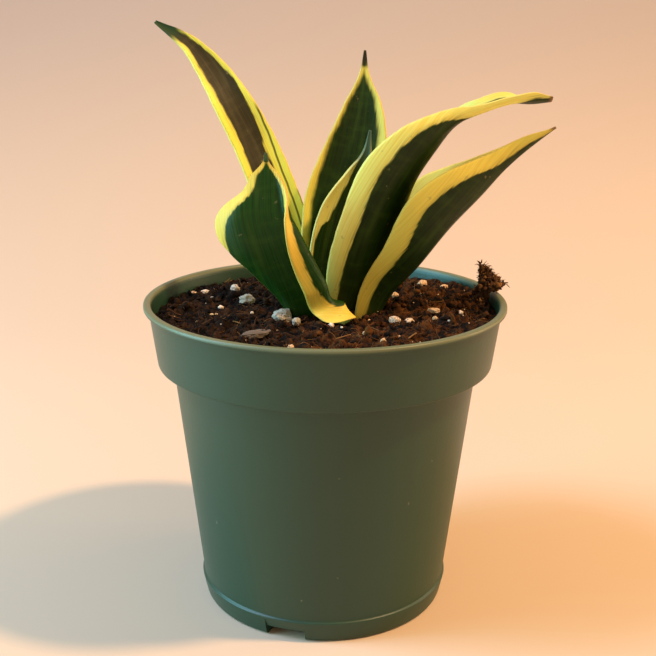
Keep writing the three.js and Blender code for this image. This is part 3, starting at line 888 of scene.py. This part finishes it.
def make_leaf(name, material):
    leaf = LEAVES[name]
    at, length = along_stations(leaf["stations"])
    bands = np.array(leaf["bands"], float)
    parts = np.sin(np.linspace(0, math.pi / 2, LEAF_HALF_COLUMNS + 1))
    seed = sum(map(ord, name)) * 0.37
    points, blade, edge, band = [], [], [], []
    for i in range(LEAF_ROWS + 1):
        t = i / LEAF_ROWS
        x, y, z, left, right, roll, mid, left_slope, right_slope = at(t)
        along = at(min(t + TANGENT_STEP, 1))[:3] - at(max(t - TANGENT_STEP, 0))[:3]
        along = Vector(along).normalized()
        level = Vector((-along.z, 0, along.x)).normalized()
        facing = along.cross(level)
        turn = math.radians(roll)
        across = np.array(level * math.cos(turn) + facing * math.sin(turn))
        inward = np.array(-level * math.sin(turn) + facing * math.cos(turn))
        widths = [np.interp(t, bands[:, 0], bands[:, k]) for k in (1, 2, 3)]
        inner, outer, rows = [], [], []
        for side, width, slope in ((1, left, left_slope), (-1, right, right_slope)):
            ripple = 0.07 * noise.noise(Vector((t * length * 0.35, side * 5, seed)))
            ripple += 0.02 * noise.noise(Vector((t * length * 1.3, side * 9, seed)))
            width = max(width + ripple * min(width, 3) * 0.6, LEAST_HALF_WIDTH)
            out, rise, lean = half_section(width, mid, slope, leaf["curl"], parts)
            half = leaf_thickness(parts, t)
            centre = np.array((x, y, z)) + side * out[:, None] * across + rise[:, None] * inward
            normal = np.cos(lean)[:, None] * inward - side * np.sin(lean)[:, None] * across
            inner.append(centre + normal * half[:, None])
            outer.append(centre - normal * half[:, None])
            rows.append((side * parts * width, (1 - parts) * width))
        whole = left + right
        signed = np.concatenate([rows[0][0][::-1], rows[1][0][1:]])
        from_left = np.concatenate([rows[0][1][::-1], np.full(LEAF_HALF_COLUMNS, whole)])
        from_right = np.concatenate([np.full(LEAF_HALF_COLUMNS, whole), rows[1][1]])
        for face, halves in ((1, inner), (0, outer)):
            sheet = np.concatenate([halves[0][::-1], halves[1][1:]])
            order = slice(None) if face else slice(None, None, -1)
            points.append(sheet[order])
            count = len(sheet)
            blade.append(np.stack([signed, np.full(count, t * length), np.full(count, face)], 1)[order])
            edge.append(np.stack([from_left, from_right, np.full(count, t)], 1)[order])
            band.append(np.tile(widths, (count, 1)))
    ring = 2 * (2 * LEAF_HALF_COLUMNS + 1)
    faces = []
    for i in range(LEAF_ROWS):
        for j in range(ring):
            a, b = i * ring + j, i * ring + (j + 1) % ring
            faces.append([a, b, b + ring, a + ring])
    top = LEAF_ROWS * ring
    for j in range(ring // 2 - 1):
        far = ring - 1 - j
        faces.append([j, far, far - 1, j + 1])
        faces.append([top + j, top + j + 1, top + far - 1, top + far])
    obj = mesh_object(name + "_blade", np.concatenate(points), faces, material)
    store(obj, "blade", np.concatenate(blade))
    store(obj, "edge", np.concatenate(edge))
    store(obj, "band", np.concatenate(band))
    return obj


# =====================================================================
# potting mix and what lies in it
# =====================================================================


def soil_base(x, y):
    tilt = 0.012 * x - 0.006 * y
    lumps = 0.55 * math.sin(0.31 * x + 0.4) * math.cos(0.27 * y - 0.7)
    lumps += 0.35 * math.sin(0.62 * x - 0.45 * y + 1.3)
    lumps += 0.3 * math.cos(0.5 * x + 0.74 * y)
    mound = math.exp(-((x + 11) ** 2 + (y + 11) ** 2) / 30)
    bank = 1.5 * math.exp(-((x - 38) ** 2 + (y - 22) ** 2) / 420)
    return SOIL_LEVEL + tilt + lumps + mound + bank


def soil_detail(x, y):
    """Crumbs, creases and hollows of the mix, above or below its plain surface."""
    place = Vector((x, y, 0))
    clods = noise.fractal(place * 0.16, 0.9, 2.1, 3)
    crumbs = noise.turbulence(place * 0.30, 5, True, amplitude_scale=0.62)
    hollow = math.exp(-((x - 45) ** 2 + (y - 0.5) ** 2) / 7)
    inner = smooth_step(SOIL_RADIUS - math.hypot(x, y), 0.0, 2.0)
    return (1.0 * clods + 2.1 * (crumbs - 0.55)) * (0.35 + 0.65 * inner) - 2.2 * hollow


def soil_height(x, y):
    return soil_base(x, y) + soil_detail(x, y)


def make_soil(material):
    rings, sides = SOIL_RINGS, SOIL_SIDES
    points, faces = [(0, 0, soil_height(0, 0))], []
    for k in range(1, rings + 1):
        radius = SOIL_RADIUS * k / rings
        for j in range(sides):
            a = 2 * math.pi * j / sides
            x, y = radius * math.cos(a), radius * math.sin(a)
            points.append((x, y, soil_height(x, y)))
    below = [
        (COLLAR_FOOT_RADIUS - WALL - SOIL_WALL_GAP, POT_HEIGHT - COLLAR_HEIGHT + 2),
        (BODY_TOP_RADIUS - WALL - SOIL_WALL_GAP, POT_HEIGHT - COLLAR_HEIGHT + 1),
        (BODY_FOOT_RADIUS - WALL - SOIL_WALL_GAP, FOOT_RING_HEIGHT),
        (BODY_FOOT_RADIUS - 3, SOIL_FLOOR),
    ]
    for radius, z in below:
        for j in range(sides):
            a = 2 * math.pi * j / sides
            points.append((radius * math.cos(a), radius * math.sin(a), z))
    points.append((0, 0, SOIL_FLOOR))
    total = rings + len(below)
    for j in range(sides):
        n = (j + 1) % sides
        faces.append([0, 1 + j, 1 + n])
        for k in range(total - 1):
            a, b = 1 + k * sides + j, 1 + k * sides + n
            faces.append([a, a + sides, b + sides, b])
        edge = 1 + (total - 1) * sides
        faces.append([edge + n, edge + j, len(points) - 1])
    obj = mesh_object("mix_bed", points, faces, material)
    # Painted shade: the tint follows the crumbs and hollows, so the low places of the mix are painted
    # darker, with random grain on top.
    tints = []
    for x, y, z in points:
        grain = noise.fractal(Vector((x, y, z)) * 0.9, 0.9, 2.0, 4)
        tints.append(0.14 + 0.42 * soil_detail(x, y) + 0.75 * grain)
    store(obj, "tint", np.clip(tints, 0, 1))
    return obj


def in_pot(margin=1.2):
    """A random place on the mix."""
    radius = (SOIL_RADIUS - margin) * math.sqrt(random.random())
    angle = random.uniform(0, 2 * math.pi)
    return radius * math.cos(angle), radius * math.sin(angle)


def make_crumbs(material):
    shapes = [(lumpy(ball(2)[0], k, 0.8, 1.7, 4), ball(2)[1]) for k in range(14)]
    crumbs = Parts()
    for _ in range(CRUMB_COUNT):
        x, y = in_pot()
        size = 0.2 + 0.95 * random.random() ** 4
        points, faces = random.choice(shapes)
        stretch = np.array([random.uniform(0.7, 1.6), 1, random.uniform(0.6, 1.0)]) * size
        points = turned(points * stretch, *[random.uniform(0, 360) for _ in range(3)])
        points = points + np.array([x, y, soil_height(x, y) + size * LOOSE_LIFT])
        crumbs.add(points, faces, random.random() ** 2.2)
    return crumbs.build("mix_crumbs", material)


# Single straws: start, direction, length, radius, tint.
STRAWS = [
    ((44.6, 2.6, 84.6), (0.0, 0.1, 1.0), 3.4, 0.28, 1.0),
    ((20.8, 4.4, 85.2), (1.0, 0.05, 0.1), 3.5, 0.26, 1.2),
    ((21.6, -29.2, 85.2), (0.8, 0.3, 0.5), 2.6, 0.24, 1.6),
    ((3.0, -30.5, 85.4), (1.0, 0.3, 0.3), 4.0, 0.20, 0.9),
    ((-25.0, -14.0, 85.2), (0.6, -0.8, 0.2), 5.0, 0.16, 0.8),
    ((30.0, 8.0, 85.2), (0.9, -0.4, 0.2), 4.5, 0.18, 0.8),
]


def make_fibres(material):
    fibres = Parts()
    for _ in range(FIBRE_COUNT):
        x, y = in_pot(2.5)
        length = random.uniform(1.2, 5)
        direction = (random.uniform(-1, 1), random.uniform(-1, 1), random.uniform(-0.05, 0.35))
        start = (x, y, soil_height(x, y) + 0.15)
        path = wandering(start, direction, length, 0.32)
        path = [p for p in path if p.xy.length < FIBRE_REACH]
        path = [Vector((p.x, p.y, max(p.z, soil_base(p.x, p.y)))) for p in path]
        if len(path) < 3:
            continue
        thick = random.uniform(0.04, 0.14)
        points, faces = strand(path, taper(thick, len(path) - 1), 4)
        fibres.add(points, faces, random.random() ** 2.5)
    for start, direction, length, thick, tint in STRAWS:
        points, faces = strand(wandering(start, direction, length, 0.06), taper(thick, 8, 0.7))
        fibres.add(points, faces, tint)
    return fibres.build("mix_fibres", material)


# Loose grains: x, y, length, width, height, heading, tint.
GREY, WHITE, CREAM, TAN = 0.0, 0.5, 0.75, 1.0

GRAINS = {
    "perlite_by_front_leaf": (-11.5, -12.8, 5.4, 5, 4.8, 20, GREY),
    "perlite_beside_it": (-7.8, -14.6, 2.6, 2.4, 2.4, 50, GREY),
    "perlite_left_grey": (-23, 9, 4.8, 3.6, 3.2, 10, GREY),
    "perlite_left_rear": (-28, 26.5, 2.8, 2.6, 2.6, 0, WHITE),
    "perlite_left_wall_1": (-40, 20, 2.2, 1.8, 1.8, 30, TAN),
    "perlite_left_wall_2": (-36.5, 21.5, 2.9, 1.6, 1.6, 15, WHITE),
    "perlite_left_wall_3": (-34, 16, 1.9, 1.6, 1.4, 40, WHITE),
    "perlite_left_middle": (-30, 3, 1.6, 1.4, 1.4, 10, WHITE),
    "perlite_front_centre": (1.7, -17.5, 1.6, 1.5, 1.5, 10, WHITE),
    "perlite_front_left_1": (-10.9, -38, 2, 1.6, 1.5, 0, TAN),
    "perlite_front_left_2": (-8.4, -38.2, 1.7, 1.6, 1.5, 30, TAN),
    "perlite_front_1": (10.8, -24.5, 1.7, 1.5, 1.4, 0, TAN),
    "perlite_front_2": (14.8, -34, 1.6, 1.4, 1.4, 60, TAN),
    "perlite_right_1": (19, -12.8, 3.4, 2.2, 2, 150, CREAM),
    "perlite_right_2": (23, -12.4, 2.7, 2.2, 2, 20, CREAM),
    "perlite_right_3": (30.5, -4, 3.7, 1.8, 1.8, 155, TAN),
    "perlite_right_4": (30.2, -10.5, 1.6, 1.3, 1.3, 0, TAN),
    "perlite_right_5": (37.8, -5, 1.6, 1.4, 1.3, 0, WHITE),
    "perlite_right_rear_1": (29.5, 23.5, 3.2, 2.4, 2.6, 40, TAN),
    "perlite_right_rear_2": (36, 22.5, 2.5, 1.6, 1.6, 10, TAN),
    "perlite_right_rear_3": (20.5, 13, 2.4, 2, 2, 0, TAN),
}

# Smaller chips that lie on the mix, not worth a body of their own.
CHIPS = [
    (-31.4, -4.8, 2.8, 0.9, 0.6, 20, WHITE),
    (-20.6, -3.5, 1.1, 0.9, 0.8, 0, WHITE),
    (-0.6, -14.3, 1.0, 0.8, 0.7, 0, WHITE),
    (33.8, -13.3, 1.0, 0.9, 0.8, 0, WHITE),
    (38.8, -14.2, 1.0, 0.8, 0.7, 0, WHITE),
    (19.9, -8.6, 1.1, 0.9, 0.8, 30, TAN),
    (19.4, -25.3, 0.9, 0.8, 0.7, 0, TAN),
    (27, 27.6, 1.2, 0.9, 0.8, 0, WHITE),
]


def grain_points(shape, seed, subdivisions):
    x, y, length, width, height, heading, _ = shape
    points, faces = ball(subdivisions)
    points = lumpy(points, seed, 0.22, 1.6, 4)
    pits = np.array([noise.voronoi(Vector(p) * 2.6 + Vector((seed, 0, 0)))[0][0] for p in points])
    points = points * (1 - 0.16 * np.clip(1 - pits / 0.32, 0, 1))[:, None]
    points = points * np.array([length, width, height]) / 2
    points = turned(points, heading)
    return points + np.array([x, y, soil_base(x, y) + height * LOOSE_LIFT]), faces


def make_grains(material):
    large, small = Parts(), Parts()
    for seed, (name, shape) in enumerate(GRAINS.items()):
        if name == "perlite_by_front_leaf":
            points, faces = grain_points(shape, seed, 5)
            large.add(points, faces, shape[-1])
        else:
            points, faces = grain_points(shape, seed, 4)
            small.add(points, faces, shape[-1])
    for seed, shape in enumerate(CHIPS):
        points, faces = grain_points(shape, seed + 50, 3)
        small.add(points, faces, shape[-1])
    for seed in range(DUST_COUNT):
        x, y = in_pot()
        size = random.uniform(0.25, 0.6)
        shape = (x, y, size * 1.4, size, size, random.uniform(0, 180), random.choice((WHITE, TAN)))
        points, faces = grain_points(shape, seed + 80, 2)
        points = points + np.array([0, 0, soil_height(x, y) - soil_base(x, y)])
        small.add(points, faces, shape[-1])
    return large.build("large_perlite", material), small.build("perlite_grains", material)


# The bark chip: x, y, length, width, height, heading.
BARK = (-18, -25.5, 8.4, 4, 1.8, 35)


def make_bark(material):
    x, y, length, width, height, heading = BARK
    points, faces = ball(5)
    points = lumpy(points, 7, 0.28, 1.4, 5)
    points[:, 2] = np.sign(points[:, 2]) * np.abs(points[:, 2]) ** 0.7
    points = points * np.array([length, width, height]) / 2
    points = turned(points, heading) + np.array([x, y, soil_base(x, y) + height * LOOSE_LIFT])
    bark = Parts()
    bark.add(points, faces, 0.5)
    return bark.build("bark", material)


CLUMP = [
    (44, 4.5, 84.8, 2.8),
    (44.8, 5.2, 88.2, 2.5),
    (45.4, 5.5, 89.5, 2.8),
    (47.8, 6.2, 91.2, 3.9),
    (46.6, 7, 93.8, 2),
    (45.2, 8, 96.4, 0.7),
]
CLUMP_CORE = 0.74
CLOD_COUNT = 170
CLUMP_STRAND_COUNT = 260

# Stubs of root that stand out of the clump: start, direction, length, radius.
CLUMP_HORNS = [
    ((45.9, 7.3, 94.0), (-0.4, 0.1, 1.0), 4.0, 0.65),
    ((44.9, 7.8, 97.0), (-0.9, 0.1, 0.5), 1.5, 0.3),
    ((44.9, 7.8, 97.2), (0.1, 0.1, 1.0), 1.0, 0.25),
    ((50.0, 6.0, 91.6), (1.0, -0.1, -0.1), 2.6, 0.5),
    ((52.2, 5.8, 91.3), (0.7, -0.1, -0.5), 1.3, 0.22),
]


def clump_core(at, rows=60, sides=64):
    points, faces = [], []
    for i in range(rows + 1):
        x, y, z, radius = at(i / rows)
        for j in range(sides):
            a = 2 * math.pi * j / sides
            place = Vector((x + radius * math.cos(a), y + radius * math.sin(a), z))
            torn = CLUMP_CORE + 0.5 * noise.fractal(place * 0.55, 0.8, 2.2, 5)
            points.append((x + radius * torn * math.cos(a), y + radius * torn * math.sin(a), z))
    for i in range(rows):
        for j in range(sides):
            n = (j + 1) % sides
            a, b = i * sides + j, i * sides + n
            faces.append([a, b, b + sides])
            faces.append([a, b + sides, a + sides])
    for j in range(1, sides - 1):
        faces.append([0, j + 1, j])
        faces.append([rows * sides, rows * sides + j, rows * sides + j + 1])
    return np.array(points), faces


def make_clump(material):
    """The matted lump at the rim: a torn core, clods that cling to it and strands sticking out."""
    at, _ = along_stations(CLUMP)
    clump = Parts()
    clump.add(*clump_core(at), 0.1)
    shapes = [(lumpy(ball(2)[0], k + 30, 0.8, 1.7, 4), ball(2)[1]) for k in range(8)]
    for _ in range(CLOD_COUNT):
        x, y, z, radius = at(random.uniform(0.12, 0.97))
        a = random.uniform(0, 2 * math.pi)
        reach = radius * random.uniform(0.65, 1.05)
        size = random.uniform(0.2, 0.7) * (0.6 if z < 89.5 else 1.0)
        points, faces = random.choice(shapes)
        points = turned(points * size, *[random.uniform(0, 360) for _ in range(3)])
        points = points + np.array([x + reach * math.cos(a), y + reach * math.sin(a), z])
        clump.add(points, faces, random.random() ** 4)
    for _ in range(CLUMP_STRAND_COUNT):
        x, y, z, radius = at(random.uniform(0.35, 1.0))
        a = random.uniform(0, 2 * math.pi)
        direction = (math.cos(a), math.sin(a), random.uniform(-0.5, 0.8))
        start = (x + radius * 0.7 * math.cos(a), y + radius * 0.7 * math.sin(a), z)
        path = wandering(start, direction, random.uniform(0.8, 2.2), 0.4, 6)
        points, faces = strand(path, taper(random.uniform(0.08, 0.22), 6), 4)
        clump.add(points, faces, random.random() ** 2)
    for start, direction, length, thick in CLUMP_HORNS:
        points, faces = strand(wandering(start, direction, length, 0.12), taper(thick, 8, 0.3), 6)
        clump.add(points, faces, 0.15)
    return clump.build("torn_clump", material)


# =====================================================================
# assembly
# =====================================================================

plastic = plastic_material()
peat = soil_material()
fibre = fibre_material()
perlite = perlite_material()
bark_skin = bark_material()


def piece(obj, slot, *nodes):
    """Fixes a piece to the part and hides the CAD nodes it stands for."""
    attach(obj, "root")
    if nodes:
        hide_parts(*nodes)
    return obj


piece(make_pot(plastic), "pot_plastic", "nursery_pot")
piece(make_soil(peat), "soil", "potting_mix")
piece(make_crumbs(peat), "soil")
piece(make_fibres(fibre), "soil")
large_grain, small_grains = make_grains(perlite)
piece(large_grain, "perlite", "perlite_by_front_leaf")
piece(small_grains, "perlite", *[n for n in GRAINS if n != "perlite_by_front_leaf"])
piece(make_bark(bark_skin), "bark", "bark_chip")
piece(make_clump(fibre), "root_clump", "root_clump")
for leaf_name in LEAVES:
    skin = leaf_material(leaf_name + "_skin", LOOKS[leaf_name])
    piece(make_leaf(leaf_name, skin), "leaf", leaf_name)

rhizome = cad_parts["rhizome"]
rhizome.data.materials.clear()
rhizome.data.materials.append(rhizome_material())


# =====================================================================
# studio
# =====================================================================


BACKDROP_FRONT = -900
BACKDROP_BEND_START = 260
BACKDROP_BEND = 1000
BACKDROP_BEND_STEPS = 24
BACKDROP_HALF_WIDTH = 1800
BACKDROP_TOP = 1800
BACKDROP_DROP = 0.05
BACKDROP_SHADE_HEIGHT = 0.2


def make_backdrop():
    """A pale sheet that runs along the floor and curves up behind."""
    s = Shader("backdrop_paper")
    where = s.node("ShaderNodeSeparateXYZ")
    s.put(where.inputs[0], s.place())
    # Painted shade: the sheet is painted darker and greyer upwards, for the light falling off towards
    # the top.
    up = s.step(where.outputs[2], 0.0, BACKDROP_SHADE_HEIGHT)
    s.set("Base Color", s.mix(up, colour(214, 191, 167), colour(193, 178, 166)))
    s.set("Roughness", 0.9)
    s.set("Specular IOR Level", 0.1)
    start, bend = BACKDROP_BEND_START, BACKDROP_BEND
    profile = [(BACKDROP_FRONT, 0), (start, 0)]
    for k in range(1, BACKDROP_BEND_STEPS + 1):
        a = math.radians(90 * k / BACKDROP_BEND_STEPS)
        profile.append((start + bend * math.sin(a), bend * (1 - math.cos(a))))
    profile.append((start + bend, BACKDROP_TOP))
    points, faces = [], []
    for y, z in profile:
        level = z - BACKDROP_DROP
        points.extend([(-BACKDROP_HALF_WIDTH, y, level), (BACKDROP_HALF_WIDTH, y, level)])
    for k in range(len(profile) - 1):
        faces.append([2 * k, 2 * k + 1, 2 * k + 3, 2 * k + 2])
    backdrop = mesh_object("backdrop", points, faces, s.material)
    return backdrop


def area_light(name, place, aim, size, power, tone):
    data = bpy.data.lights.new(name, "AREA")
    data.shape = "DISK"
    data.size = size
    data.energy = power
    data.color = tone
    lamp = link(bpy.data.objects.new(name, data))
    lamp.location = place
    lamp.rotation_mode = "QUATERNION"
    lamp.rotation_quaternion = (Vector(aim) - Vector(place)).to_track_quat("-Z", "Y")
    return lamp


make_backdrop()
AIM = (0.0, 0.0, 0.07)
area_light("warm_key", (0.795, -0.19, 1.22), AIM, 0.12, 19.4, (1.0, 0.61, 0.31))
area_light("cool_key", (-0.75, -0.12, 0.975), AIM, 0.40, 10.2, (0.48, 0.59, 0.92))
area_light("cool_fill", (-0.60, -0.10, 0.16), AIM, 0.45, 5.0, (0.30, 0.82, 1.0))
area_light("warm_rim", (0.60, 0.12, 0.16), AIM, 0.30, 1.4, (1.0, 0.70, 0.42))

world = bpy.data.worlds.new("studio")
world.use_nodes = True
world.node_tree.nodes["Background"].inputs["Color"].default_value = (1.0, 0.78, 0.52, 1.0)
world.node_tree.nodes["Background"].inputs["Strength"].default_value = 0.5
bpy.context.scene.world = world
bpy.context.scene.view_settings.view_transform = "Standard"

# ---- camera ----

CAMERA_PLACE = Vector((0.000814, -0.291124, 0.162963))
CAMERA_ELEVATION = math.radians(15.998)
CAMERA_ROLL = math.radians(0.437)
CAMERA_LENS = 58.14

camera_data = bpy.data.cameras.new("camera")
camera_data.sensor_width = 36.0
camera_data.lens = CAMERA_LENS
camera_data.clip_start = 0.01
camera_data.clip_end = 20.0
camera = link(bpy.data.objects.new("camera", camera_data))
back = Vector((0, -math.cos(CAMERA_ELEVATION), math.sin(CAMERA_ELEVATION)))
level = Vector((1, 0, 0))
upright = back.cross(level)
right = level * math.cos(CAMERA_ROLL) + upright * math.sin(CAMERA_ROLL)
up = upright * math.cos(CAMERA_ROLL) - level * math.sin(CAMERA_ROLL)
turn = Matrix((right, up, back)).transposed().to_4x4()
camera.matrix_world = Matrix.Translation(CAMERA_PLACE) @ turn
bpy.context.scene.camera = camera

bpy.context.view_layer.update()
